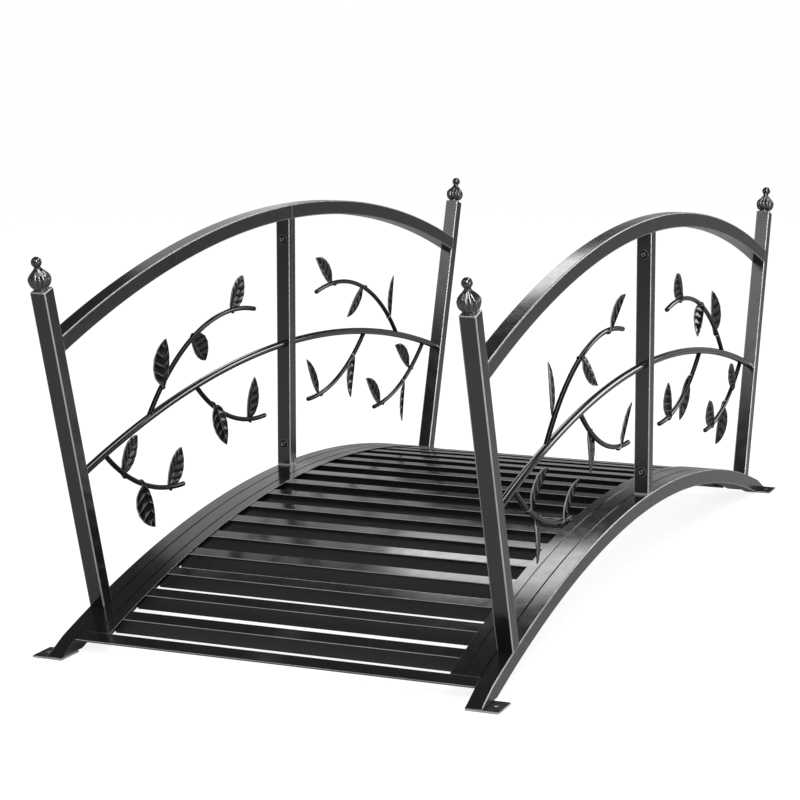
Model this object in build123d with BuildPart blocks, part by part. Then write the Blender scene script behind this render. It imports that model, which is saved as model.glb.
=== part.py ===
"""Arched steel garden bridge with raked posts, finials and vine railings.

Millimetres. +X runs along the walk, with the front end at -X. +Y is the left railing, +Z is up,
and the origin lies on the ground at the middle of the bridge. One quarter is modelled, at +X and +Y,
and mirrored to the other three.
"""
import os
from math import asin, copysign, cos, degrees, radians, sin, sqrt, tan

from build123d import *

os.makedirs("parts", exist_ok=True)

# Arch and side tubes
tube = 25.0
half_length = 790.0
half_width = 336.0
crown_height = 143.0
tip_rise = 6.0
nose_length = 45.0

# Foot plates
plate_thickness = 3.0
plate_length = 50.0
plate_overhang = 24.0
bolt_hole = 7.0

# End posts
post_setback = 125.0
post_rake = 17.4
post_above = 77.0

# Finials
base_radius = 9.9
base_height = 4.0
bulb_radius = 16.6
bulb_height = 30.0
neck_radius = 4.9
neck_height = 2.0
ball_radius = 7.8
gore_count = 12

# Handrails and mid uprights
handrail_crown = 599.0
upright_half = 12.5

# Vine rods, sprigs and leaves
rod_crown = 357.0
rod_fall = 128.0
rod_diameter = 12.0
stem_diameter = 8.0
rod_sides = 12
stem_sides = 8
leaf_length = 77.0
leaf_thickness = 2.4
leaf_fold = 12.0
leaf_lean = 4.0
leaf_twist = 9.0
midrib_width = 3.0
midrib_height = 0.8

# Deck
deck_rail_width = 27.0
deck_edge_width = 18.0
deck_edge_thickness = 2.0
end_bar_setback = 38.5
end_bar_width = 24.0
end_bar_thickness = 3.0
slat_count = 20
slat_side = 25.0

# Extra length that a cut or a bar runs past where it is trimmed
overrun = 40.0

# Places worked out from the sizes above
arch_rise = crown_height - plate_thickness - tip_rise
arch_radius = (half_length**2 + arch_rise**2) / (2 * arch_rise)
arch_centre = crown_height - arch_radius
under_radius = arch_radius - tube
rod_radius = (half_length**2 + rod_fall**2) / (2 * rod_fall)
rail_inside = half_width - tube
rail_middle = half_width - tube / 2
edge_outside = rail_inside - deck_rail_width
edge_inside = edge_outside - deck_edge_width
upper_gap = handrail_crown - tube - rod_crown
lower_gap = rod_crown - crown_height
rake = radians(post_rake)
post_foot = half_length - post_setback


def arch_height(x, radius, crown):
    """Height at x of an arc of this radius whose highest point is at this crown."""
    return crown - radius + sqrt(radius**2 - x**2)


def on_post(depth, along):
    """Point of the post's side outline: depth in from its outer face, along up from its foot."""
    x = post_foot + along * sin(rake) - depth * cos(rake)
    z = arch_height(post_foot, arch_radius, crown_height) + along * cos(rake) + depth * sin(rake)
    return (x, z)


def reach_on_post(depth, radius, crown):
    """Distance up the post, at this depth, to where an arc crosses it."""
    x, z = on_post(depth, 0)
    rise = z - (crown - radius)
    half = x * sin(rake) + rise * cos(rake)
    return -half + sqrt(half**2 - (x**2 + rise**2 - radius**2))


def arc_between(start, end, radius, crown):
    """Arc of this radius and crown between two points that lie on it."""
    middle = (start[0] + end[0]) / 2
    return ThreePointArc(start, (middle, arch_height(middle, radius, crown)), end)


def bend(arc):
    """Axis and angle in degrees that carry a profile at the start of an arc to its end."""
    centre = arc.arc_center
    return Axis(centre, (arc @ 0 - centre).cross(arc % 0)), degrees(arc.length / arc.radius)


def write(piece, name):
    """Label a piece and write it as its own file."""
    piece.label = name
    export_step(piece, f"parts/{name}.step")


def write_pair(piece, name, about, first, second):
    """Write a piece and its mirror image under two names."""
    with BuildPart() as image:
        mirror(piece, about=about)
    write(piece, f"{first}_{name}")
    write(image.part, f"{second}_{name}")


def write_quarters(piece, name):
    """Write the back left piece and its mirror images at the other three corners."""
    with BuildPart() as front:
        mirror(piece, about=Plane.YZ)
    write_pair(piece, name, Plane.XZ, "back_left", "back_right")
    write_pair(front.part, name, Plane.XZ, "front_left", "front_right")


# Middle plane of the left railing: its x direction is +X and its y direction is +Z
rail_plane = Plane(origin=(0, rail_middle, 0), x_dir=(1, 0, 0), z_dir=(0, -1, 0))

# Side beam: half of the arched tube, its nose cut down to the front edge of the foot plate
under_crown = crown_height - tube
nose_start = half_length - nose_length
nose_top = (nose_start, arch_height(nose_start, arch_radius, crown_height))
nose_tip = (half_length, plate_thickness)
sole_end = (sqrt(under_radius**2 - (plate_thickness - arch_centre) ** 2), plate_thickness)
with BuildPart() as side_beam:
    with BuildSketch(rail_plane):
        with BuildLine():
            arc_between((0, crown_height), nose_top, arch_radius, crown_height)
            Polyline(nose_top, nose_tip, sole_end)
            arc_between(sole_end, (0, under_crown), under_radius, under_crown)
            Line((0, under_crown), (0, crown_height))
        make_face()
    extrude(amount=tube / 2, both=True)
write_quarters(side_beam.part, "side_beam")

# Foot plate: under the beam's nose and out to its side, with one bolt hole beside the beam
with BuildPart() as foot_plate:
    with BuildSketch():
        with Locations((half_length, rail_inside)):
            Rectangle(plate_length, tube + plate_overhang, align=(Align.MAX, Align.MIN))
        with Locations((half_length - plate_length / 2, half_width + plate_overhang / 2)):
            Circle(bolt_hole / 2, mode=Mode.SUBTRACT)
    extrude(amount=plate_thickness)
write_quarters(foot_plate.part, "foot_plate")

# End post: raked square tube, its foot cut to the top of the beam
inner_foot = on_post(tube, reach_on_post(tube, arch_radius, crown_height))
post_length = reach_on_post(tube, arch_radius, handrail_crown) + post_above
with BuildPart() as end_post:
    with BuildSketch(rail_plane):
        with BuildLine():
            Polyline(on_post(0, 0), on_post(0, post_length), on_post(tube, post_length), inner_foot)
            arc_between(inner_foot, on_post(0, 0), arch_radius, crown_height)
        make_face()
    extrude(amount=tube / 2, both=True)
write_quarters(end_post.part, "end_post")

# Finial: base, onion bulb, neck and ball on the post's axis. The bulb's gadroons are drawn as flat gores:
# the outline is pushed through once for each pair of gores, and the finial is what all of these share
post_top = on_post(tube / 2, post_length)
finial_plane = Plane(
    origin=(post_top[0], rail_middle, post_top[1]),
    x_dir=(cos(rake), 0, -sin(rake)),
    z_dir=(0, -1, 0),
)
bulb_widest_share = 0.43
shoulder_share = 0.66
shoulder_radius_share = 0.84
bulb_top = base_height + bulb_height
neck_top = bulb_top + neck_height
ball_centre = neck_top + sqrt(ball_radius**2 - neck_radius**2)
widest = (bulb_radius, base_height + bulb_height * bulb_widest_share)
shoulder = (bulb_radius * shoulder_radius_share, base_height + bulb_height * shoulder_share)
ball_top = (0, ball_centre + ball_radius)
with BuildPart() as finials:
    for number in range(gore_count // 2):
        with BuildSketch(finial_plane * Rotation(0, number * 360 / gore_count, 0)):
            with BuildLine():
                Polyline(ball_top, (0, 0), (base_radius, 0), (base_radius, base_height))
                ThreePointArc((base_radius, base_height), widest, shoulder)
                Polyline(shoulder, (neck_radius, bulb_top), (neck_radius, neck_top))
                ThreePointArc((neck_radius, neck_top), (ball_radius, ball_centre), ball_top)
            make_face()
            mirror(about=Plane.YZ)
        extrude(amount=overrun, both=True, mode=Mode.INTERSECT if number else Mode.ADD)
    mirror(about=Plane.XZ)
write_pair(finials.part, "finials", Plane.YZ, "back", "front")

# Handrail: half of the upper arch, from the middle to the post's inner face
rail_under = handrail_crown - tube
rail_top_end = on_post(tube, reach_on_post(tube, arch_radius, handrail_crown))
rail_low_end = on_post(tube, reach_on_post(tube, under_radius, rail_under))
with BuildPart() as handrail:
    with BuildSketch(rail_plane):
        with BuildLine():
            arc_between((0, handrail_crown), rail_top_end, arch_radius, handrail_crown)
            Line(rail_top_end, rail_low_end)
            arc_between(rail_low_end, (0, rail_under), under_radius, rail_under)
            Line((0, rail_under), (0, handrail_crown))
        make_face()
    extrude(amount=tube / 2, both=True)
write_quarters(handrail.part, "handrail")

# Mid upright: one of two bars that meet back to back at the middle
upright_low = (upright_half, arch_height(upright_half, arch_radius, crown_height))
upright_high = (upright_half, arch_height(upright_half, under_radius, rail_under))
with BuildPart() as mid_upright:
    with BuildSketch(rail_plane):
        with BuildLine():
            arc_between((0, crown_height), upright_low, arch_radius, crown_height)
            Line(upright_low, upright_high)
            arc_between(upright_high, (0, rail_under), under_radius, rail_under)
            Line((0, rail_under), (0, crown_height))
        make_face()
    extrude(amount=tube / 2, both=True)
write_quarters(mid_upright.part, "mid_upright")


def round_bar(path, diameter, sides):
    """Bar bent along an arc in the railing's plane, its round section drawn with flat sides to keep it light."""
    with BuildPart() as bar:
        with BuildSketch(Plane(origin=path @ 0, x_dir=(0, 1, 0), z_dir=path % 0)):
            RegularPolygon(diameter / 2, sides, major_radius=False, rotation=180 / sides)
        axis, angle = bend(path)
        revolve(axis=axis, revolution_arc=angle)
    return bar.part


# Vine rod: round bar bent past both ends, then cut on the mid upright and on the post's inner face
post_corner = on_post(tube, 0)
post_face = Plane(
    origin=(post_corner[0], 0, post_corner[1]),
    x_dir=(0, 1, 0),
    z_dir=(-cos(rake), 0, sin(rake)),
)
rod_reach = on_post(tube, reach_on_post(tube, rod_radius, rod_crown))[0] + overrun
with BuildPart() as vine_rod:
    with BuildLine(rail_plane) as rod_path:
        rod_far = (rod_reach, arch_height(rod_reach, rod_radius, rod_crown))
        arc_between((0, rod_crown), rod_far, rod_radius, rod_crown)
    add(round_bar(rod_path.edge(), rod_diameter, rod_sides))
    split(bisect_by=Plane.YZ.offset(upright_half), keep=Keep.TOP)
    split(bisect_by=post_face, keep=Keep.TOP)
write_quarters(vine_rod.part, "vine_rod")

# Vine sprigs: bent stems that grow from the rod, each with leaves on its sides.
# A stem has a start, a middle and an end, each as shares of the post's distance from the middle of the
# bridge and of the gap above or below the rod.
upper_stem_shares = ((0.752, 0.0), (0.452, 0.411), (0.191, 0.361))
end_stem_shares = ((0.958, 0.0), (0.782, 0.446), (0.583, 0.676))
middle_stem_shares = ((0.514, 0.0), (0.343, 0.374), (0.135, 0.521))
# A leaf has its place along the stem, the bulges of its two edges as shares of its length,
# its direction in degrees from +X, and the side of the stem it is fixed to.
upper_leaf_shares = ((0.15, 0.20, 0.30, 88, -1), (0.46, 0.18, 0.28, 219, 1), (0.81, 0.21, 0.25, 138, 1))
end_leaf_shares = ((0.28, 0.15, 0.28, 138, 1), (0.48, 0.31, 0.17, 251, -1), (0.85, 0.24, 0.23, 135, 1))
middle_leaf_shares = ((0.26, 0.18, 0.31, 246, -1), (0.80, 0.23, 0.17, 120, 1))


def stem_point(shares, gap):
    """Point in the railing plane from a pair of shares."""
    x = shares[0] * post_foot
    return (x, arch_height(x, rod_radius, rod_crown) + shares[1] * gap)


def leaf_plane(spot, heading, side):
    """Plane of a leaf, x from base to tip, leaning out from the railing and turned towards the deck."""
    turn = radians(heading)
    upright = Plane(
        origin=(spot.X, rail_middle + side * stem_diameter / 2, spot.Z),
        x_dir=(cos(turn), 0, sin(turn)),
        z_dir=(0, -1, 0),
    )
    twist = copysign(leaf_twist, sin(turn))
    return Plane(upright * Rotation(0, side * leaf_lean, 0) * Rotation(twist, 0, 0))


def make_leaf(blade, left_share, right_share, side):
    """Leaf cut to its outline from a folded strip, with the midrib on the fold's outer side."""
    tip = (leaf_length, 0)
    reach = leaf_length / 2
    face = leaf_thickness / 2
    slope = tan(radians(leaf_fold))
    rib = midrib_width / 2
    rib_foot = face - rib * slope
    rib_top = face + midrib_height
    fall = reach * slope
    right_half = ((rib, rib_top), (rib, rib_foot), (reach, face - fall), (reach, -face - fall))
    left_half = ((-reach, -face - fall), (-reach, face - fall), (-rib, rib_foot), (-rib, rib_top))
    strip = [(across, -side * rise) for across, rise in (*right_half, (0, -face), *left_half)]
    with BuildPart() as leaf:
        with BuildSketch(blade):
            with BuildLine():
                ThreePointArc((0, 0), (reach, leaf_length * left_share), tip)
                ThreePointArc(tip, (reach, -leaf_length * right_share), (0, 0))
            make_face()
        extrude(amount=reach, both=True)
        with BuildSketch(Plane(origin=blade.origin, x_dir=blade.y_dir, z_dir=blade.x_dir)):
            with BuildLine():
                Polyline(*strip, close=True)
            make_face()
        extrude(amount=leaf_length, mode=Mode.INTERSECT)
    return leaf.part


def make_sprig(gap, stem_shares, leaf_shares):
    """One bent stem with its leaves, cut to sit on the rod."""
    start, middle, end = (stem_point(shares, gap) for shares in stem_shares)
    with BuildPart() as sprig:
        with BuildLine(rail_plane) as stem:
            ThreePointArc(start, middle, end)
        add(round_bar(stem.edge(), stem_diameter, stem_sides))
        for along, left_share, right_share, heading, side in leaf_shares:
            add(make_leaf(leaf_plane(stem.line @ along, heading, side), left_share, right_share, side))
        add(vine_rod.part, mode=Mode.SUBTRACT)
    return sprig.part


with BuildPart() as vine_sprigs:
    add(make_sprig(upper_gap, upper_stem_shares, upper_leaf_shares))
    add(make_sprig(-lower_gap, end_stem_shares, end_leaf_shares))
    add(make_sprig(-lower_gap, middle_stem_shares, middle_leaf_shares))
write_quarters(vine_sprigs.part, "vine_sprigs")


def deck_plane(angle, radius):
    """Plane across the deck at an angle of the arch: its x direction runs along the deck."""
    x = radius * sin(angle)
    z = arch_centre + radius * cos(angle)
    return Plane(origin=(x, 0, z), x_dir=(cos(angle), 0, -sin(angle)), z_dir=(0, -1, 0))


# End bar: thin flat across each end of the deck, from beam to beam
end_bar_edge = asin((half_length - end_bar_setback) / arch_radius)
end_bar_angle = end_bar_edge - asin(end_bar_width / 2 / arch_radius)
end_bar_plane = deck_plane(end_bar_angle, sqrt(arch_radius**2 - (end_bar_width / 2) ** 2))
with BuildPart() as end_bar:
    with BuildSketch(end_bar_plane):
        Rectangle(end_bar_width, end_bar_thickness, align=(Align.CENTER, Align.MAX))
    extrude(amount=rail_inside, both=True)
write_pair(end_bar.part, "end_bar", Plane.YZ, "back", "front")

# Deck rail and deck edge: arched bars beside the beam, which end at the end bars
deck_end = Plane(
    origin=end_bar_plane.origin - end_bar_plane.x_dir * end_bar_width / 2,
    x_dir=(0, 1, 0),
    z_dir=-end_bar_plane.x_dir,
)


def arched_bar(depth, outside, inside):
    """Arched bar flush with the beam's top, between two distances from the bridge's middle line."""
    low_radius = arch_radius - depth
    low_crown = crown_height - depth
    reach = half_length - end_bar_setback
    with BuildPart() as bar:
        with BuildSketch(Plane.XZ.offset(-outside)):
            with BuildLine():
                top_end = (reach, arch_height(reach, arch_radius, crown_height))
                low_end = (reach, arch_height(reach, low_radius, low_crown))
                arc_between((0, crown_height), top_end, arch_radius, crown_height)
                Line(top_end, low_end)
                arc_between(low_end, (0, low_crown), low_radius, low_crown)
                Line((0, low_crown), (0, crown_height))
            make_face()
        extrude(amount=outside - inside)
        split(bisect_by=deck_end, keep=Keep.TOP)
        mirror(about=Plane.YZ)
    return bar.part


deck_rail = arched_bar(tube, rail_inside, edge_outside)
deck_edge = arched_bar(deck_edge_thickness, edge_outside, edge_inside)
write_pair(deck_rail, "deck_rail", Plane.XZ, "left", "right")
write_pair(deck_edge, "deck_edge", Plane.XZ, "left", "right")

# Slats: square tubes between the rails, under the deck edges, evenly spaced, with end bars a little nearer
end_gap_share = 0.936
slat_top = sqrt((arch_radius - deck_edge_thickness) ** 2 - (slat_side / 2) ** 2)
slat_step = 2 * end_bar_angle / (slat_count - 1 + 2 * end_gap_share)
with BuildPart() as slats:
    for number in range(slat_count // 2):
        with BuildSketch(deck_plane((number + 1 / 2) * slat_step, slat_top)):
            Rectangle(slat_side, slat_side, align=(Align.CENTER, Align.MAX))
        extrude(amount=edge_outside, both=True)
write_pair(slats.part, "slats", Plane.YZ, "back", "front")
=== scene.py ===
import bmesh
import bpy
from math import asin, atan2, copysign, cos, exp, pi, radians, sin, sqrt
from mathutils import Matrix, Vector


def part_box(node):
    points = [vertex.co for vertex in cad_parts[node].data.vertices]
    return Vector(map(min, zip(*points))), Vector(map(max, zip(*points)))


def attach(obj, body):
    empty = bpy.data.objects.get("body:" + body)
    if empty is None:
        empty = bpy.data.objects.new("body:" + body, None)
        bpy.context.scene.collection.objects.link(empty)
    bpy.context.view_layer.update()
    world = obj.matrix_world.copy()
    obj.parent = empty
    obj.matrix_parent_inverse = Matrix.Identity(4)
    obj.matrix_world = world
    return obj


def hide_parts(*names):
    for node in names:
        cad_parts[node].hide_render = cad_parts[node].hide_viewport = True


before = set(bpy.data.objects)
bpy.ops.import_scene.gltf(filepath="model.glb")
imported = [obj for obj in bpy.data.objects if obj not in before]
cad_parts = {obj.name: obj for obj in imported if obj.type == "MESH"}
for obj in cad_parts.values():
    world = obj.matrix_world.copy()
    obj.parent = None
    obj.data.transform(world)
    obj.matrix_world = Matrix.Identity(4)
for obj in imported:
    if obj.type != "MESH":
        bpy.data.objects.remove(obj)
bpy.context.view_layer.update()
mm = 0.001

# Side beams
# The arched bottom tubes of both railings, half a span each: square steel tube rolled to the arch, its nose
# cut level to sit on the foot plate. After welding, each railing half is powder coated black in one go.
beam_low, beam_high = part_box("back_left_side_beam")
tube = beam_high.y - beam_low.y
half_length = beam_high.x
crown = beam_high.z
plate_top = beam_low.z
rail_middle = (beam_low.y + beam_high.y) / 2
tip_rise = 6 * mm
nose_length = 45 * mm
tip_thickness = 0.8 * mm
tube_corner = 2.0 * mm
seam_chamfer = 0.7 * mm
groove_width = 1.2 * mm
groove_depth = 1.5 * mm
groove_share = 0.4
# Pale highlight painted on each corner of the beam; none on the inner top corner, which is grooved.
beam_highlights = (0.6, 0.8, 0.8, 0)
beam_steps = 56
nose_steps = 14
nose_round = 0.45
cloud_size = 70 * mm
smear_size = 22 * mm
# Roughness added where the pale highlight is painted on.
highlight_roughening = 0.25
arch_rise = crown - plate_top - tip_rise
arch_radius = (half_length**2 + arch_rise**2) / (2 * arch_rise)
arch_centre = crown - arch_radius
quarters = (("back_left", 1, 1), ("back_right", 1, -1), ("front_left", -1, 1), ("front_right", -1, -1))


def linear(colour):
    """Linear colour with alpha from an sRGB hex value."""
    parts = [int(colour[i : i + 2], 16) / 255 for i in (1, 3, 5)]
    return [p / 12.92 if p <= 0.04045 else ((p + 0.055) / 1.055) ** 2.4 for p in parts] + [1.0]


def add_node(tree, kind, inputs=None, **settings):
    """Add a node with its settings, and fill its inputs with values or with links from other nodes."""
    made = tree.nodes.new(kind)
    for name, value in settings.items():
        setattr(made, name, value)
    for name, value in (inputs or {}).items():
        if isinstance(value, bpy.types.NodeSocket):
            tree.links.new(value, made.inputs[name])
        else:
            made.inputs[name].default_value = value
    return made


def painted(name, dark, light, highlight_colour, gloss, mirror, peel_size, peel_depth):
    """Black paint on steel: cloudy colour, uneven gloss, orange peel, and a pale metallic highlight painted
    along edges.
    """
    made = bpy.data.materials.new(name)
    made.use_nodes = True
    tree = made.node_tree
    surface = tree.nodes["Principled BSDF"]
    place = add_node(tree, "ShaderNodeTexCoord").outputs["Object"]
    cloud = add_node(tree, "ShaderNodeTexNoise", {"Vector": place, "Scale": 1 / cloud_size, "Detail": 3.0})
    smear = add_node(tree, "ShaderNodeTexNoise", {"Vector": place, "Scale": 1 / smear_size, "Detail": 4.0})
    peel = add_node(tree, "ShaderNodeTexNoise", {"Vector": place, "Scale": 1 / peel_size, "Detail": 1.0})
    # The edge attribute marks where the highlight is painted: pale metallic lines on edges, rims and veins.
    edge = add_node(tree, "ShaderNodeAttribute", attribute_name="edge")
    highlight_strength = add_node(
        tree,
        "ShaderNodeMapRange",
        {"Value": cloud.outputs["Fac"], "From Min": 0.35, "From Max": 0.6, "To Min": 0.6, "To Max": 0.9},
    )
    painted_highlight = add_node(
        tree, "ShaderNodeMath", {0: edge.outputs["Fac"], 1: highlight_strength.outputs["Result"]}, operation="MULTIPLY"
    )
    coat = add_node(
        tree,
        "ShaderNodeMix",
        {0: cloud.outputs["Fac"], 6: linear(dark), 7: linear(light)},
        data_type="RGBA",
    )
    colour = add_node(
        tree,
        "ShaderNodeMix",
        {0: painted_highlight.outputs[0], 6: coat.outputs[2], 7: linear(highlight_colour)},
        data_type="RGBA",
    )
    rough = add_node(
        tree,
        "ShaderNodeMapRange",
        {
            "Value": smear.outputs["Fac"],
            "From Min": 0.3,
            "From Max": 0.7,
            "To Min": gloss[0],
            "To Max": gloss[1],
        },
    )
    dull = add_node(
        tree,
        "ShaderNodeMath",
        {0: painted_highlight.outputs[0], 1: highlight_roughening, 2: rough.outputs["Result"]},
        operation="MULTIPLY_ADD",
    )
    ripple = add_node(
        tree,
        "ShaderNodeBump",
        {"Height": peel.outputs["Fac"], "Distance": peel_depth, "Strength": 1.0},
    )
    tree.links.new(colour.outputs[2], surface.inputs["Base Color"])
    tree.links.new(painted_highlight.outputs[0], surface.inputs["Metallic"])
    tree.links.new(dull.outputs[0], surface.inputs["Roughness"])
    tree.links.new(ripple.outputs["Normal"], surface.inputs["Normal"])
    surface.inputs["IOR"].default_value = mirror
    return made


# Polyester powder coat, baked on: near black and semi-gloss, so pale surroundings mirror softly in every flat
# face, brightest where it is seen at a slant, and a pale metallic highlight is painted along its edges.
# Polyester has an IOR of about 1.5, and 1.8 is matched to the object. Its orange peel is about 1.5 mm; it is
# drawn at 4 mm to show.
powder_coat = painted(
    "black_powder_coat", "#0b0b0c", "#131314", "#d8d8d6", (0.12, 0.19), 1.8, 4 * mm, 0.001 * mm
)


def rounded_section(width, depth, corner, painted_corner_highlights=(1, 1, 1, 1), steps=4):
    """Outline of a bar with rounded corners, as (across, down, edge), with each corner's painted highlight.

    A corner's painted highlight is set on the middle points of its rounding. A corner with none lies against a
    neighbour and is cut back square, as half of the groove between the two.
    """
    outline = []
    for number, (side, low) in enumerate(((1, 0), (1, 1), (-1, 1), (-1, 0))):
        bright = painted_corner_highlights[number]
        if not bright:
            cut = min(groove_depth, groove_share * depth)
            start, end = (depth, depth - cut) if low else (0, cut)
            wall = side * (width / 2 - groove_width)
            groove = [(wall, start, 0), (wall, end, 0), (side * width / 2, end, 0)]
            outline += groove[::-1] if number % 2 else groove
            continue
        across = side * (width / 2 - corner)
        down = depth - corner if low else corner
        for step in range(steps + 1):
            turn = pi / 2 - (number + step / steps) * pi / 2
            place = (across + corner * cos(turn), down - corner * sin(turn))
            outline.append((*place, bright if 0 < step < steps else 0))
    return outline


def shrunk(section, width, depth, by):
    """The same outline, smaller by this much on every side."""
    middle = depth / 2
    return [
        (across * (1 - 2 * by / width), middle + (down - middle) * (1 - 2 * by / depth), edge)
        for across, down, edge in section
    ]


def upright_cut(x):
    """Cut square to the walk at x: gives the angle at which an arc of any radius meets it."""
    return lambda radius: asin(x / radius)


def arched_rings(section, radius, top, start_cut, end_cut, count, y=0):
    """Rings of a section bent round an arch, each point running from one cut to the other on its own arc."""
    rings = []
    for number in range(count + 1):
        ring = []
        for across, down, edge in section:
            reach = radius - down
            start = start_cut(reach)
            turn = start + (end_cut(reach) - start) * number / count
            ring.append((reach * sin(turn), y + across, top - radius + reach * cos(turn), edge))
        rings.append(ring)
    return rings


def skin(rings, closed=True):
    """Points, edge values and faces of the surface through a row of rings, with both ends closed."""
    size = len(rings[0])
    points = [point for ring in rings for point in ring]
    faces = []
    for row in range(len(rings) - 1):
        for i in range(size):
            j = (i + 1) % size
            faces.append((row * size + i, row * size + j, (row + 1) * size + j, (row + 1) * size + i))
    if closed:
        faces.append(tuple(range(size - 1, -1, -1)))
        faces.append(tuple(range((len(rings) - 1) * size, len(rings) * size)))
    return points, faces


def add_piece(name, shapes, material, replaced=None, signs=(1, 1), sharp=40):
    """One object from one or more skins, mirrored by the signs, riding on the bridge, with the paint as its
    material.
    """
    mesh = bpy.data.meshes.new(name)
    points = []
    faces = []
    for shape_points, shape_faces in shapes:
        faces += [tuple(i + len(points) for i in face) for face in shape_faces]
        points += shape_points
    mesh.from_pydata([(p[0] * signs[0], p[1] * signs[1], p[2]) for p in points], [], faces)
    # The edge attribute carries the painted highlight of each point.
    edge = mesh.attributes.new("edge", "FLOAT", "POINT")
    edge.data.foreach_set("value", [p[3] for p in points])
    shaped = bmesh.new()
    shaped.from_mesh(mesh)
    bmesh.ops.recalc_face_normals(shaped, faces=shaped.faces)
    shaped.to_mesh(mesh)
    shaped.free()
    mesh.shade_smooth()
    mesh.set_sharp_from_angle(angle=radians(sharp))
    mesh.materials.append(material)
    piece = bpy.data.objects.new(name, mesh)
    bpy.context.scene.collection.objects.link(piece)
    flats = piece.modifiers.new("flats", "WEIGHTED_NORMAL")
    flats.keep_sharp = True
    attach(piece, "root")
    if replaced:
        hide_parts(replaced)
    return piece


def arch_height(x, radius, top):
    """Height at x of an arch of this radius and crown."""
    return top - radius + sqrt(radius**2 - x**2)


def nose_height(x):
    """Top of the beam at x, past the point where its nose dips below the arch."""
    start = half_length - nose_length
    high = arch_height(start, arch_radius, crown)
    low = plate_top + tip_thickness
    return high + (low - high) * (x - start) / nose_length


def beam_ring(x):
    """Upright ring of the beam's nose at x, flat underneath where it stands on the plate."""
    top = arch_height(x, arch_radius, crown)
    if x > half_length - nose_length:
        top = min(top, nose_height(x))
    bottom = max(arch_height(x, arch_radius - tube, crown - tube), plate_top)
    height = top - bottom
    section = rounded_section(tube, height, min(tube_corner, nose_round * height), beam_highlights)
    return [(x, rail_middle + across, top - down, edge) for across, down, edge in section]


beam_section = rounded_section(tube, tube, tube_corner, beam_highlights)
beam_seam = shrunk(beam_section, tube, tube, seam_chamfer)
sole_start = sqrt((arch_radius - tube) ** 2 - (plate_top - arch_centre) ** 2)
beam_rings = arched_rings(
    beam_seam, arch_radius, crown, upright_cut(0), upright_cut(seam_chamfer), 1, rail_middle
)[:1]
beam_rings += arched_rings(
    beam_section,
    arch_radius,
    crown,
    upright_cut(seam_chamfer),
    upright_cut(sole_start),
    beam_steps,
    rail_middle,
)
for step in range(1, nose_steps + 1):
    beam_rings.append(beam_ring(sole_start + (half_length - sole_start) * step / nose_steps))
for quarter, *signs in quarters:
    add_piece(f"{quarter}_beam_tube", [skin(beam_rings)], powder_coat, f"{quarter}_side_beam", signs)

# Foot plates
# Small steel plates welded under the beams' noses, cut from strip, each with one punched hole beside the beam
# for a ground bolt. They are coated with the rest of the railing, and the coat rounds the hole's rim.
plate_low, plate_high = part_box("back_left_foot_plate")
plate_hole = 7 * mm
plate_corner = 1.5 * mm
plate_rim = 0.5 * mm
plate_steps = 12
hole_x = (plate_low.x + plate_high.x) / 2
hole_y = (beam_high.y + plate_high.y) / 2


def plate_outline(by):
    """Outline of the plate, in from its edge by this much, as points round its bolt hole."""
    half_x = (plate_high.x - plate_low.x) / 2 - by
    half_y = (plate_high.y - plate_low.y) / 2 - by
    middle = (plate_low + plate_high) / 2
    outline = []
    for number, (side_x, side_y) in enumerate(((1, 1), (-1, 1), (-1, -1), (1, -1))):
        for step in range(plate_steps + 1):
            turn = (number + step / plate_steps) * pi / 2
            x = middle.x + side_x * (half_x - plate_corner) + plate_corner * cos(turn)
            y = middle.y + side_y * (half_y - plate_corner) + plate_corner * sin(turn)
            outline.append((x, y))
    return outline


def round_hole(radius):
    """Points of the bolt hole, each facing the outline's point of the same number."""
    turns = [atan2(y - hole_y, x - hole_x) for x, y in plate_outline(0)]
    return [(hole_x + radius * cos(t), hole_y + radius * sin(t)) for t in turns]


hole_radius = plate_hole / 2
# The last value of each ring is its painted highlight: pale on the outer rim and on the hole's upper rim.
plate_rings = (
    (round_hole(hole_radius), plate_low.z + plate_rim, 0),
    (round_hole(hole_radius + plate_rim), plate_low.z, 0),
    (plate_outline(plate_rim), plate_low.z, 0),
    (plate_outline(0), plate_low.z + plate_rim, 1),
    (plate_outline(0), plate_high.z - plate_rim, 1),
    (plate_outline(plate_rim), plate_high.z, 0),
    (round_hole(hole_radius + plate_rim), plate_high.z, 0),
    (round_hole(hole_radius), plate_high.z - plate_rim, 1),
)
plate_points, plate_faces = skin(
    [[(x, y, z, edge) for x, y in ring] for ring, z, edge in plate_rings], closed=False
)
ring_size = len(plate_outline(0))
last_ring = (len(plate_rings) - 1) * ring_size
for i in range(ring_size):
    j = (i + 1) % ring_size
    plate_faces.append((last_ring + i, last_ring + j, j, i))
# The same powder coat, but dull: black from every side, with a pale highlight painted on the outer rim and the
# hole's upper rim. Its roughness and its low IOR are matched to the object, where the plates mirror almost
# nothing.
dull_coat = painted(
    "dull_black_powder_coat", "#0a0a0b", "#121213", "#d8d8d6", (0.3, 0.42), 1.12, 4 * mm, 0.001 * mm
)
for quarter, *signs in quarters:
    plate = (plate_points, plate_faces)
    add_piece(f"{quarter}_foot", [plate], dull_coat, f"{quarter}_foot_plate", signs, 60)

# Deck rails and deck edges
# Beside each beam runs a second arched tube, its ends mitred under the end bars, and on its inner side a thin
# arched flat that covers the slats' ends. They are welded edge to edge, with narrow dark grooves between.
rail_low, rail_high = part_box("left_deck_rail")
edge_low, edge_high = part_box("left_deck_edge")
edge_thickness = 2 * mm
edge_corner = 0.4 * mm
rail_mitre = 16 * mm
deck_steps = 110
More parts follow.
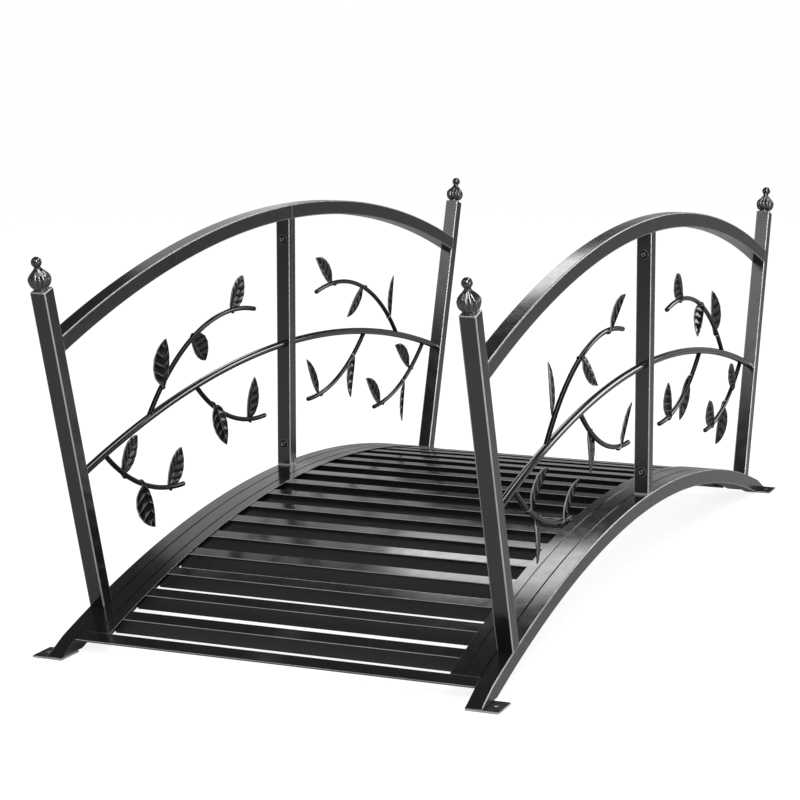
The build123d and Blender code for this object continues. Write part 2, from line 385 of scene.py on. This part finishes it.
# Painted highlight on the corners: faint underneath, a pale line on the deck edge's inner top corner, and none
# on the grooved corners.
rail_highlights = (0, 0.05, 0.05, 0)
deck_edge_highlights = (0, 0.05, 0.05, 0.4)
end_bar_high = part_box("back_end_bar")[1]
end_bar_width = 24 * mm
end_bar_edge = asin(end_bar_high.x / arch_radius)
end_bar_turn = end_bar_edge - asin(end_bar_width / 2 / arch_radius)
deck_end_turn = end_bar_turn - asin(end_bar_width / 2 / arch_radius)


def deck_cut(radius):
    """Where the deck stops, at the end bar's inner edge. Lower arcs stop sooner, for the mitre."""
    return deck_end_turn - rail_mitre * (arch_radius - radius) / tube / arch_radius


def far_deck_cut(radius):
    """The same at the front end."""
    return -deck_cut(radius)


for side, sign in (("left", 1), ("right", -1)):
    for part, low, high, depth, corner, painted_corner_highlights in (
        ("deck_rail", rail_low, rail_high, tube, tube_corner, rail_highlights),
        ("deck_edge", edge_low, edge_high, edge_thickness, edge_corner, deck_edge_highlights),
    ):
        section = rounded_section(high.y - low.y, depth, corner, painted_corner_highlights)
        middle = (low.y + high.y) / 2
        rings = arched_rings(section, arch_radius, crown, far_deck_cut, deck_cut, deck_steps, middle)
        add_piece(f"{side}_{part}_bar", [skin(rings)], powder_coat, f"{side}_{part}", (1, sign))

# Slats and end bars
# The deck is twenty straight square tubes across the bridge, welded between the deck rails under the edges,
# and a thin flat from beam to beam closes each end. A thin pale highlight is painted along their edges.
slat_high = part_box("back_slats")[1]
slat_count = 20
slat_side = 25 * mm
slat_corner = 1.0 * mm
slat_cap = 0.6 * mm
# Painted highlight on the corners, brighter on the top ones.
cross_bar_highlights = (0.5, 0.3, 0.3, 0.5)
end_bar_thickness = 3 * mm
end_bar_corner = 1.0 * mm
slat_top = sqrt((arch_radius - edge_thickness) ** 2 - (slat_side / 2) ** 2)
end_bar_top = sqrt(arch_radius**2 - (end_bar_width / 2) ** 2)
end_gap_share = 0.936
slat_step = 2 * end_bar_turn / (slat_count - 1 + 2 * end_gap_share)


def cross_bar(turn, top, width, depth, corner, cap, half):
    """Straight bar across the deck at an angle of the arch, with slightly rounded ends."""
    section = rounded_section(width, depth, corner, cross_bar_highlights)
    ends = shrunk(section, width, depth, cap)
    rings = []
    for outline, y in ((ends, -half), (section, cap - half), (section, half - cap), (ends, half)):
        ring = []
        for along, down, edge in outline:
            x = (top - down) * sin(turn) + along * cos(turn)
            z = arch_centre + (top - down) * cos(turn) - along * sin(turn)
            ring.append((x, y, z, edge))
        rings.append(ring)
    return skin(rings)


slat_shapes = [
    cross_bar((number + 0.5) * slat_step, slat_top, slat_side, slat_side, slat_corner, slat_cap, slat_high.y)
    for number in range(slat_count // 2)
]
end_bar_shape = cross_bar(
    end_bar_turn, end_bar_top, end_bar_width, end_bar_thickness, end_bar_corner, slat_cap, end_bar_high.y
)
for end, sign in (("back", 1), ("front", -1)):
    add_piece(f"{end}_deck_slats", slat_shapes, powder_coat, f"{end}_slats", (sign, 1))
    add_piece(f"{end}_deck_end_bar", [end_bar_shape], powder_coat, f"{end}_end_bar", (sign, 1))

# End posts
# Raked square tubes, saddled and welded on the beams, and closed on top by a flat welded cap ground flush,
# so the top has soft rounded edges that catch the light. A pale highlight is also painted along the four long
# edges and round the top.
post_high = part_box("back_left_end_post")[1]
post_rake = radians(17.4)
post_setback = 125 * mm
post_foot = half_length - post_setback
post_foot_height = arch_height(post_foot, arch_radius, crown)
cap_round = 1.6 * mm
cap_steps = 4


def on_post(depth, along):
    """Point of the post's side: depth in from its outer face, along up from its foot."""
    x = post_foot + along * sin(post_rake) - depth * cos(post_rake)
    z = post_foot_height + along * cos(post_rake) + depth * sin(post_rake)
    return x, z


def reach_on_post(depth, radius, top):
    """Distance up the post, at this depth, to where an arch crosses it."""
    x, z = on_post(depth, 0)
    rise = z - (top - radius)
    half = x * sin(post_rake) + rise * cos(post_rake)
    return -half + sqrt(half**2 - (x**2 + rise**2 - radius**2))


post_length = (post_high.x - post_foot) / sin(post_rake)
post_section = rounded_section(tube, tube, tube_corner)
post_rings = []
foot_ring = []
for across, depth, edge in post_section:
    x, z = on_post(depth, reach_on_post(depth, arch_radius, crown))
    foot_ring.append((x, rail_middle + across, z, edge))
post_rings.append(foot_ring)
# Round the cap, the painted highlight is strongest halfway over the rounding.
for step in range(cap_steps + 1):
    turn = step / cap_steps * pi / 2
    outline = shrunk(post_section, tube, tube, cap_round * (1 - cos(turn)))
    along = post_length - cap_round * (1 - sin(turn))
    ring = []
    for across, depth, edge in outline:
        x, z = on_post(depth, along)
        ring.append((x, rail_middle + across, z, max(edge, sin(2 * turn))))
    post_rings.append(ring)
for quarter, *signs in quarters:
    add_piece(f"{quarter}_post_tube", [skin(post_rings)], powder_coat, f"{quarter}_end_post", signs)

# Finials
# Cast iron knobs welded on the posts: a round foot, an onion bulb with twelve gadroons, a neck and a ball.
# Castings keep softer edges than tube, and the same black coat lies glossier on their curves.
finial_turns = 96
gadroons = 12
gadroon_depth = 0.13
gadroon_round = 0.8
gadroon_start = 0.8
gadroon_fullness = 0.7
crest_highlight = 0.05
base_radius = 9.9 * mm
base_height = 4 * mm
base_bevel = 0.6 * mm
base_step = 0.4 * mm
base_foot = 0.94
base_waist = 0.93
bulb_radius = 16.8 * mm
bulb_height = 30 * mm
bulb_steps = 34
neck_radius = 4.9 * mm
widest_share = 0.43
neck_height = 2 * mm
ball_radius = 7.8 * mm
ball_steps = 18
point_radius = 0.02 * mm
bulb_top = base_height + bulb_height
ball_centre = bulb_top + neck_height + sqrt(ball_radius**2 - neck_radius**2)
# Powder coat on a casting: it runs smooth and glossy over the curves, so lamps draw long streaks on the
# gadroons, and a faint pale highlight is painted along their crests. Its IOR is matched to the object, as on
# the tubes. The peel is drawn at 3 mm to show.
finial_iron = painted(
    "black_coat_on_cast_iron", "#0c0c0d", "#151516", "#bcbcba", (0.08, 0.13), 2.0, 3 * mm, 0.002 * mm
)


def onion(share):
    """Radius of the bulb at a share of its height: a round bowl below, drawn in to the neck above."""
    if share <= widest_share:
        rise = share / widest_share
        return base_radius + (bulb_radius - base_radius) * sqrt(rise * (2 - rise))
    fall = (share - widest_share) / (1 - widest_share)
    return neck_radius + (bulb_radius - neck_radius) * (1 - 2.4 * fall**2 + 1.4 * fall**3)


finial_rows = [(0.0, 0.0, 0.0), (base_radius * base_foot, 0.0, 0.0), (base_radius, base_bevel, 0.0)]
finial_rows.append((base_radius, base_height - 2 * base_bevel, 0.0))
finial_rows.append((base_radius * base_waist, base_height - base_step, 0.0))
for step in range(bulb_steps + 1):
    share = step / bulb_steps
    groove = gadroon_depth * sin(pi * share**gadroon_start) ** gadroon_fullness
    finial_rows.append((onion(share), base_height + bulb_height * share, groove))
ball_start = asin(neck_radius / ball_radius)
for step in range(ball_steps + 1):
    turn = ball_start + (pi - ball_start) * step / ball_steps
    finial_rows.append((ball_radius * sin(turn), ball_centre - ball_radius * cos(turn), 0.0))
finial_x, finial_z = on_post(tube / 2, post_length)
finial_rings = []
for radius, along, groove in finial_rows:
    ring = []
    for number in range(finial_turns):
        turn = 2 * pi * number / finial_turns
        valley = 1 - abs(cos(turn * gadroons / 2)) ** gadroon_round
        reach = max(radius, point_radius) * (1 - groove * valley)
        x = finial_x + along * sin(post_rake) + reach * cos(turn) * cos(post_rake)
        z = finial_z + along * cos(post_rake) - reach * cos(turn) * sin(post_rake)
        # A faint painted highlight along each gadroon crest.
        bright = crest_highlight * groove / gadroon_depth * (1 - valley)
        ring.append((x, rail_middle + reach * sin(turn), z, bright))
    finial_rings.append(ring)
finial_points, finial_faces = skin(finial_rings)
mirrored_points = [(x, -y, z, e) for x, y, z, e in finial_points]
for end, sign in (("back", 1), ("front", -1)):
    shapes = [(finial_points, finial_faces), (mirrored_points, finial_faces)]
    add_piece(f"{end}_knobs", shapes, finial_iron, f"{end}_finials", (sign, 1), 60)

# Handrails
# Half an upper arch each, in the same rolled steel tube as the beams, butted and welded to the posts' inner
# faces. The halves meet over the mid uprights at an open seam.
handrail_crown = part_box("back_left_handrail")[1].z
handrail_steps = 64
# Pale highlight painted on all four corners.
handrail_highlights = (0.6, 0.6, 0.6, 0.6)


def post_cut(radius, top):
    """Cut along the post's inner face, for arcs about the centre of an arch of this radius and crown."""
    x, z = on_post(tube, 0)
    centre = top - radius
    away = x * cos(post_rake) - (z - centre) * sin(post_rake)
    return lambda reach: post_rake + asin(away / reach)


handrail_section = rounded_section(tube, tube, tube_corner, handrail_highlights)
handrail_seam = shrunk(handrail_section, tube, tube, seam_chamfer)
handrail_rings = arched_rings(
    handrail_seam, arch_radius, handrail_crown, upright_cut(0), upright_cut(seam_chamfer), 1, rail_middle
)[:1]
handrail_rings += arched_rings(
    handrail_section,
    arch_radius,
    handrail_crown,
    upright_cut(seam_chamfer),
    post_cut(arch_radius, handrail_crown),
    handrail_steps,
    rail_middle,
)
for quarter, *signs in quarters:
    add_piece(f"{quarter}_rail_tube", [skin(handrail_rings)], powder_coat, f"{quarter}_handrail", signs)

# Mid uprights
# Where the railing halves meet, two flat steel bars stand back to back between beam and handrail, one welded
# to each half, so that bolts through both can hold the bridge together. A pale highlight is painted along
# their edges and in a band at the foot.
upright_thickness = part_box("back_left_mid_upright")[1].x
upright_corner = 1.6 * mm
foot_highlight_band = 1.6 * mm
upright_highlights = (1, 0.05, 0.05, 1)
upright_section = rounded_section(tube, upright_thickness, upright_corner, upright_highlights)
upright_rings = []
# The lowest two rings carry the painted highlight band at the foot.
for radius, top, lift, bright in (
    (arch_radius, crown, 0, 1),
    (arch_radius, crown, foot_highlight_band, 1),
    (arch_radius, crown, 2 * foot_highlight_band, 0),
    (arch_radius - tube, handrail_crown - tube, 0, 0),
):
    ring = []
    for across, down, edge in upright_section:
        x = upright_thickness - down
        ring.append((x, rail_middle + across, arch_height(x, radius, top) + lift, max(edge, bright)))
    upright_rings.append(ring)
for quarter, *signs in quarters:
    add_piece(f"{quarter}_upright_bar", [skin(upright_rings)], powder_coat, f"{quarter}_mid_upright", signs)

# Bolts
# Two button-head screws of blackened steel go through each pair of uprights from the front, with washers
# under their heads and hexagon nuts behind.
bolt_heights = (0.181, 0.539)
washer_radius = 8.4 * mm
washer_thickness = 1.4 * mm
washer_bevel = 0.4 * mm
head_radius = 6.2 * mm
head_height = 3.6 * mm
socket_radius = 2.3 * mm
socket_depth = 2.0 * mm
socket_bevel = 0.4 * mm
nut_radius = 5.8 * mm
nut_height = 5.0 * mm
nut_bevel = 0.6 * mm
thread_radius = 3.0 * mm
thread_length = 8.0 * mm
thread_bevel = 0.5 * mm
bolt_turns = 48
head_steps = 9
washer_highlight = 0.2
# Blackened steel: a thin oxide skin, darker and less mirror-like than the coat around it, with a pale
# highlight painted on its rims.
# Its IOR is matched to the object. Its grain is finer than 0.1 mm; it is drawn at 1.5 mm to show.
blackened_steel = painted(
    "blackened_steel", "#080808", "#100f0f", "#bcbbb8", (0.14, 0.22), 1.4, 1.5 * mm, 0.01 * mm
)


def lathe(rows, x, y, z, direction):
    """Part turned about an axis along the walk, from rows of (radius, distance, sides, edge)."""
    rings = []
    for radius, distance, sides, edge in rows:
        ring = []
        for number in range(bolt_turns):
            turn = 2 * pi * number / bolt_turns
            reach = max(radius, point_radius)
            if sides:
                sector = 2 * pi / sides
                reach *= cos(sector / 2) / cos((turn + sector / 2) % sector - sector / 2)
            place = (x + direction * distance, y + reach * cos(turn), z + reach * sin(turn))
            ring.append((*place, edge))
        rings.append(ring)
    return skin(rings)


# The last value of each row is its painted highlight: faint on the washers' rims, pale on the socket rim, the
# nut's top rim and the thread's end.
washer_rows = [
    (washer_radius - washer_bevel, 0, 0, 0),
    (washer_radius, washer_bevel, 0, 0),
    (washer_radius, washer_thickness - washer_bevel, 0, washer_highlight),
    (washer_radius - washer_bevel, washer_thickness, 0, washer_highlight),
]
head_rows = washer_rows + [(head_radius, washer_thickness, 0, 0)]
for step in range(1, head_steps):
    turn = step / head_steps * pi / 2
    reach = head_radius - (head_radius - socket_radius - socket_bevel) * (1 - cos(turn))
    head_rows.append((reach, washer_thickness + head_height * sin(turn), 0, 0))
head_top = washer_thickness + head_height
head_rows += [
    (socket_radius + socket_bevel, head_top, 6, 1),
    (socket_radius, head_top - socket_bevel, 6, 1),
    (socket_radius, head_top - socket_depth, 6, 0),
    (0, head_top - socket_depth, 6, 0),
]
nut_top = washer_thickness + nut_height
nut_rows = washer_rows + [
    (head_radius, washer_thickness, 0, 0),
    (nut_radius, washer_thickness, 6, 0),
    (nut_radius, nut_top - nut_bevel, 6, 0),
    (nut_radius - nut_bevel, nut_top, 0, 1),
    (thread_radius, nut_top, 0, 0),
    (thread_radius, thread_length - thread_bevel, 0, 0),
    (thread_radius - thread_bevel, thread_length, 0, 1),
    (0, thread_length, 0, 0),
]
for side, sign in (("left", 1), ("right", -1)):
    heads = [lathe(head_rows, -upright_thickness, rail_middle, height, -1) for height in bolt_heights]
    nuts = [lathe(nut_rows, upright_thickness, rail_middle, height, 1) for height in bolt_heights]
    add_piece(f"{side}_upright_bolts", heads + nuts, blackened_steel, None, (1, sign), 35)

# Vine rods
# A round steel bar in each half of a railing, bent to a flatter arch and welded between post and mid upright.
# The vine grows from it. Round bar carries one long bright line where it turns towards the light.
rod_low, rod_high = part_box("back_left_vine_rod")
rod_radius = (rod_high.y - rod_low.y) / 2
rod_crown = 357 * mm
rod_fall = 128 * mm
rod_arch = (half_length**2 + rod_fall**2) / (2 * rod_fall)
rod_sides = 28
rod_steps = 60
rod_section = []
for number in range(rod_sides):
    turn = 2 * pi * number / rod_sides
    rod_section.append((rod_radius * sin(turn), -rod_radius * cos(turn), 0.0))
rod_rings = arched_rings(
    rod_section,
    rod_arch,
    rod_crown,
    upright_cut(upright_thickness),
    post_cut(rod_arch, rod_crown),
    rod_steps,
    rail_middle,
)
# Powder coat on drawn round bar: smoother and glossier than on the tube, so lamps run along it as thin lines.
# Its IOR is matched to the object, and its peel is drawn at 4 mm to show.
bar_coat = painted(
    "black_powder_coat_on_bar", "#0c0c0d", "#151516", "#bcbcba", (0.07, 0.12), 1.7, 4 * mm, 0.004 * mm
)
for quarter, *signs in quarters:
    add_piece(f"{quarter}_vine_bar", [skin(rod_rings)], bar_coat, f"{quarter}_vine_rod", signs, 60)

# Vine sprigs
# Bent stems of thin round steel bar welded to the rod, with leaves stamped from sheet: veins pressed in,
# edges toothed, and a narrow tongue wrapped round the stem and welded. They sit on either side of the railing.
stem_radius = 4 * mm
stem_sides = 20
stem_steps = 44
stem_end_steps = 6
stem_end_flat = 0.05
leaf_length = 77 * mm
leaf_thickness = 1.8 * mm
leaf_fold = 0.21
leaf_lean = radians(4)
leaf_twist = radians(9)
tongue_length = 10 * mm
tongue_width = 6 * mm
vein_pairs = 5.0
vein_slant = 0.16
vein_press = 2.2 * mm
vein_line = 0.18
vein_highlight = 0.9
pillow_highlight = 0.1
leaf_rim_highlight = 0.6
midrib_swell = 1.2 * mm
midrib_width = 1.5 * mm
tooth_share = 0.04
leaf_root = 9 * mm
leaf_least = 0.25 * mm
leaf_skew = 0.9
vein_round = 0.7
midrib_taper = 0.7
leaf_rows = 88
leaf_columns = 14
upper_gap = handrail_crown - tube - rod_crown
lower_gap = crown - rod_crown
stem_shares = {
    "upper": (upper_gap, (0.752, 0.0), (0.452, 0.411), (0.191, 0.361)),
    "end": (lower_gap, (0.958, 0.0), (0.782, 0.446), (0.583, 0.676)),
    "middle": (lower_gap, (0.514, 0.0), (0.343, 0.374), (0.135, 0.521)),
}
leaves = {
    "upper": ((0.15, 0.20, 0.30, 88, -1), (0.46, 0.18, 0.28, 219, 1), (0.81, 0.21, 0.25, 138, 1)),
    "end": ((0.28, 0.15, 0.28, 138, 1), (0.48, 0.31, 0.17, 251, -1), (0.85, 0.24, 0.23, 135, 1)),
    "middle": ((0.26, 0.18, 0.31, 246, -1), (0.80, 0.23, 0.17, 120, 1)),
}


def stem_arc(gap, *shares):
    """Function that gives the point and direction along a stem, the arc through three places on the rail."""
    places = []
    for along, up in shares:
        x = along * post_foot
        places.append(Vector((x, arch_height(x, rod_arch, rod_crown) + up * gap)))
    start, middle, end = places
    one = middle - start
    two = end - start
    cross = 2 * (one.x * two.y - one.y * two.x)
    offset_x = two.y * one.length_squared - one.y * two.length_squared
    offset_y = one.x * two.length_squared - two.x * one.length_squared
    offset = Vector((offset_x, offset_y)) / cross
    centre = start + offset
    radius = offset.length
    first = atan2(start.y - centre.y, start.x - centre.x)
    last = atan2(end.y - centre.y, end.x - centre.x)
    swing = (last - first + pi) % (2 * pi) - pi

    def along_stem(share):
        turn = first + swing * share
        spot = centre + radius * Vector((cos(turn), sin(turn)))
        way = Vector((-sin(turn), cos(turn))) * (1 if swing > 0 else -1)
        return spot, way

    return along_stem


def stem_skin(along_stem):
    """Round stem from inside the rod to its rounded free end."""
    rings = []
    rows = [(step / stem_steps, stem_radius, 0.0) for step in range(stem_steps + 1)]
    for step in range(1, stem_end_steps):
        turn = step / stem_end_steps * pi / 2
        rows.append((1.0, stem_radius * cos(turn), stem_radius * sin(turn)))
    rows.append((1.0, stem_end_flat * stem_radius, stem_radius))
    for share, reach, beyond in rows:
        spot, way = along_stem(share)
        spot = spot + way * beyond
        ring = []
        for number in range(stem_sides):
            turn = 2 * pi * number / stem_sides
            out = reach * cos(turn)
            ring.append((spot.x - way.y * out, rail_middle + reach * sin(turn), spot.y + way.x * out, 0.0))
        rings.append(ring)
    return skin(rings)


def lens(share, bulge):
    """Half width of a leaf, as a share of its length, at a share of the way from base to tip."""
    eased = share**leaf_skew
    bow = (0.25 + bulge**2) / (2 * bulge)
    return max(sqrt(max(bow**2 - (eased - 0.5) ** 2, 0)) - (bow - bulge), 0)


def leaf_skin(spot, heading, left, right, side):
    """Stamped leaf on one side of its stem, in rows from the tongue round the stem to the tip."""
    turn = radians(heading)
    twist = copysign(leaf_twist, sin(turn))
    ahead = Vector((cos(turn) * cos(leaf_lean), side * sin(leaf_lean), sin(turn) * cos(leaf_lean)))
    level = Vector((-sin(turn), 0, cos(turn)))
    sideways = level * cos(twist) + ahead.cross(level) * sin(twist)
    outward = sideways.cross(ahead) * side
    middle = Vector((spot.x, rail_middle, spot.y))
    lift = stem_radius + leaf_thickness / 2
    both_faces = []
    for face in (1, -1):
        rows = []
        for row in range(leaf_rows + 1):
            run = -tongue_length + (leaf_length + tongue_length) * row / leaf_rows
            share = max(run, 0) / leaf_length
            blend = min(max(run / leaf_root, 0), 1)
            ring = []
            for column in range(-leaf_columns, leaf_columns + 1):
                across = column / leaf_columns
                phase = (share - abs(across) * vein_slant) * vein_pairs
                tooth = 1 - tooth_share * (phase % 1) * min(8 * share, 8 * (1 - share), 1)
                width = lens(share, left if across > 0 else right) * leaf_length * tooth
                width = max(width, (1 - blend) * tongue_width / 2, leaf_least)
                v = across * width
                wave = abs(sin(pi * phase))
                flat_rim = 1 - across**4
                off_midrib = min(abs(across) * 3, 1)
                press = wave**vein_round * flat_rim * min(1, 6 * share, 5 * (1 - share))
                rib = exp(-((v / midrib_width) ** 2)) * (1 - midrib_taper * share)
                rise = midrib_swell * rib * blend - vein_press * press * off_midrib
                rise -= leaf_fold * abs(v) * blend
                skin_height = lift + face * leaf_thickness / 2
                ahead_by = run
                out = skin_height + rise
                if run < 0:
                    bend = -run / lift
                    ahead_by = -skin_height * sin(bend)
                    out = skin_height * cos(bend)
                place = middle + ahead * ahead_by + sideways * v + outward * out
                # Painted highlight: thin lines on the outer face's veins, patches on the inner face's pillows,
                # and the rim.
                vein = max(1 - wave / vein_line, 0) * off_midrib * flat_rim
                bright = vein_highlight * vein if face > 0 else pillow_highlight * press**3
                ring.append((*place, leaf_rim_highlight if abs(column) == leaf_columns else bright * blend))
            rows.append(ring)
        both_faces.append(rows)
    return skin([front + back[::-1] for front, back in zip(*both_faces)])


# Powder coat on pressed sheet, glossy, with a pale highlight painted on the veins of the outer face, on the
# pillows between the pressed hollows on the inner face and on the toothed rim, so leaves glitter in small
# patches. Its IOR is matched to the object, and its peel is drawn at 2.5 mm.
leaf_coat = painted(
    "black_powder_coat_on_leaf", "#08080a", "#101011", "#cacac8", (0.08, 0.14), 1.35, 2.5 * mm, 0.01 * mm
)
for quarter, *signs in quarters:
    shapes = []
    for stem, places in stem_shares.items():
        along_stem = stem_arc(*places)
        shapes.append(stem_skin(along_stem))
        for along, left, right, heading, side in leaves[stem]:
            shapes.append(leaf_skin(along_stem(along)[0], heading, left, right, side))
    add_piece(f"{quarter}_vine_leaves", shapes, leaf_coat, f"{quarter}_vine_sprigs", signs, 50)

# Studio
# A plain floor and an even room, white to the camera. In reflections the floor is dim and the room is a grey
# ramp, which keeps the coat near black, and eight lamps out of the picture draw its bright lines, on top of
# the pale highlights painted on its edges.
floor_size = 1000.0
floor_glow = 0.86
floor_mirrored = 0.1
room_strength = 0.5
lamp_aim = Vector((0, 0, 0.25))
floor_mesh = bpy.data.meshes.new("floor")
floor_sides = ((-1, -1), (1, -1), (1, 1), (-1, 1))
floor_mesh.from_pydata([(x * floor_size, y * floor_size, 0) for x, y in floor_sides], [], [(0, 1, 2, 3)])
floor = bpy.data.objects.new("floor", floor_mesh)
bpy.context.scene.collection.objects.link(floor)


def seen_ray(tree, reflected):
    """1 for rays from the camera and through glass, this much in reflections, 0 for light on things."""
    path = add_node(tree, "ShaderNodeLightPath").outputs
    glossy = add_node(tree, "ShaderNodeMath", {0: path["Is Glossy Ray"], 1: reflected}, operation="MULTIPLY")
    direct = add_node(
        tree,
        "ShaderNodeMath",
        {0: path["Is Camera Ray"], 1: path["Is Transmission Ray"]},
        operation="MAXIMUM",
    )
    both = add_node(tree, "ShaderNodeMath", {0: direct.outputs[0], 1: glossy.outputs[0]}, operation="MAXIMUM")
    return both.outputs[0]


# Matt floor paint with no gloss at all: grey under the lamps and lifted to white for the camera by its glow,
# so that it keeps the bridge's soft shadow.
floor_paint = bpy.data.materials.new("white_studio_floor")
floor_paint.use_nodes = True
floor_tree = floor_paint.node_tree
floor_surface = floor_tree.nodes["Principled BSDF"]
floor_surface.inputs["Base Color"].default_value = linear("#8c8c8c")
floor_surface.inputs["Roughness"].default_value = 1.0
floor_surface.inputs["Specular IOR Level"].default_value = 0.0
floor_surface.inputs["Emission Color"].default_value = linear("#ffffff")
glow = add_node(
    floor_tree,
    "ShaderNodeMath",
    {0: seen_ray(floor_tree, floor_mirrored), 1: floor_glow},
    operation="MULTIPLY",
)
floor_tree.links.new(glow.outputs[0], floor_surface.inputs["Emission Strength"])
floor_mesh.materials.append(floor_paint)

room = bpy.data.worlds.new("white_room")
bpy.context.scene.world = room
room.use_nodes = True
room_tree = room.node_tree
room_light = room_tree.nodes["Background"]
room_light.inputs["Color"].default_value = linear("#ffffff")
room_light.inputs["Strength"].default_value = room_strength
outlook = add_node(room_tree, "ShaderNodeTexCoord").outputs["Generated"]
wall_height = add_node(room_tree, "ShaderNodeSeparateXYZ", {0: outlook})
wall = add_node(room_tree, "ShaderNodeValToRGB", {0: wall_height.outputs["Z"]})
wall.color_ramp.elements[0].position = 0.08
wall.color_ramp.elements[0].color = linear("#b4b4b4")
wall.color_ramp.elements[1].position = 0.28
wall.color_ramp.elements[1].color = linear("#484848")
wall.color_ramp.elements.new(0.17).color = linear("#969696")
camera_ray = add_node(room_tree, "ShaderNodeLightPath").outputs["Is Camera Ray"]
wall_colour = add_node(
    room_tree,
    "ShaderNodeMix",
    {0: camera_ray, 6: wall.outputs["Color"], 7: linear("#ffffff")},
    data_type="RGBA",
)
room_seen = add_node(room_tree, "ShaderNodeBackground", {"Color": wall_colour.outputs[2], "Strength": 1.0})
room_mix = add_node(
    room_tree,
    "ShaderNodeMixShader",
    {0: seen_ray(room_tree, 1.0), 1: room_light.outputs[0], 2: room_seen.outputs[0]},
)
room_tree.links.new(room_mix.outputs[0], room_tree.nodes["World Output"].inputs["Surface"])

for name, place, size, power, spread in (
    ("left_soft_box", Vector((-2.5, 1.2, 2.3)), (2.6, 0.8), 11, 180),
    ("right_soft_box", Vector((-0.9, -2.5, 1.6)), (1.5, 0.9), 6, 180),
    ("right_low_panel", Vector((-1.2, -2.2, 0.5)), (1.2, 1.0), 12, 180),
    ("front_soft_box", Vector((-2.8, -1.2, 2.1)), (0.6, 1.9), 70, 180),
    ("overhead_strip", Vector((0.3, -1.1, 3.0)), (3.8, 0.8), 45, 180),
    ("low_strip", Vector((3.3, -1.8, 1.4)), (1.2, 1.4), 6, 90),
    ("back_soft_box", Vector((3.2, 1.2, 2.6)), (1.0, 0.8), 8, 180),
    ("deck_panel", Vector((3.5, 2.2, 1.9)), (1.3, 2.1), 5, 180),
):
    lamp = bpy.data.lights.new(name, "AREA")
    lamp.shape = "RECTANGLE"
    lamp.size, lamp.size_y = size
    lamp.energy = power
    lamp.spread = radians(spread)
    box = bpy.data.objects.new(name, lamp)
    box.location = place
    box.visible_camera = False
    box.rotation_euler = (lamp_aim - place).to_track_quat("-Z", "Y").to_euler()
    bpy.context.scene.collection.objects.link(box)

# Camera
# A long lens above the handrails' height, in front of the bridge and to its right. The picture is shifted so
# that the bridge sits in the frame as in the photograph.
image_width = 800
focal_pixels = 2315.1
eye = Vector((-3.6096, -1.3848, 0.9370))
look_turn = 0.3925
look_rise = -0.1173
camera_data = bpy.data.cameras.new("camera")
camera_data.sensor_width = 36
camera_data.lens = focal_pixels / image_width * camera_data.sensor_width
camera_data.shift_y = -0.15
camera_data.clip_end = 4000
camera = bpy.data.objects.new("camera", camera_data)
camera.location = eye
look = Vector((cos(look_turn) * cos(look_rise), sin(look_turn) * cos(look_rise), sin(look_rise)))
camera.rotation_euler = look.to_track_quat("-Z", "Y").to_euler()
bpy.context.scene.collection.objects.link(camera)
bpy.context.scene.camera = camera
bpy.context.scene.view_settings.view_transform = "Standard"
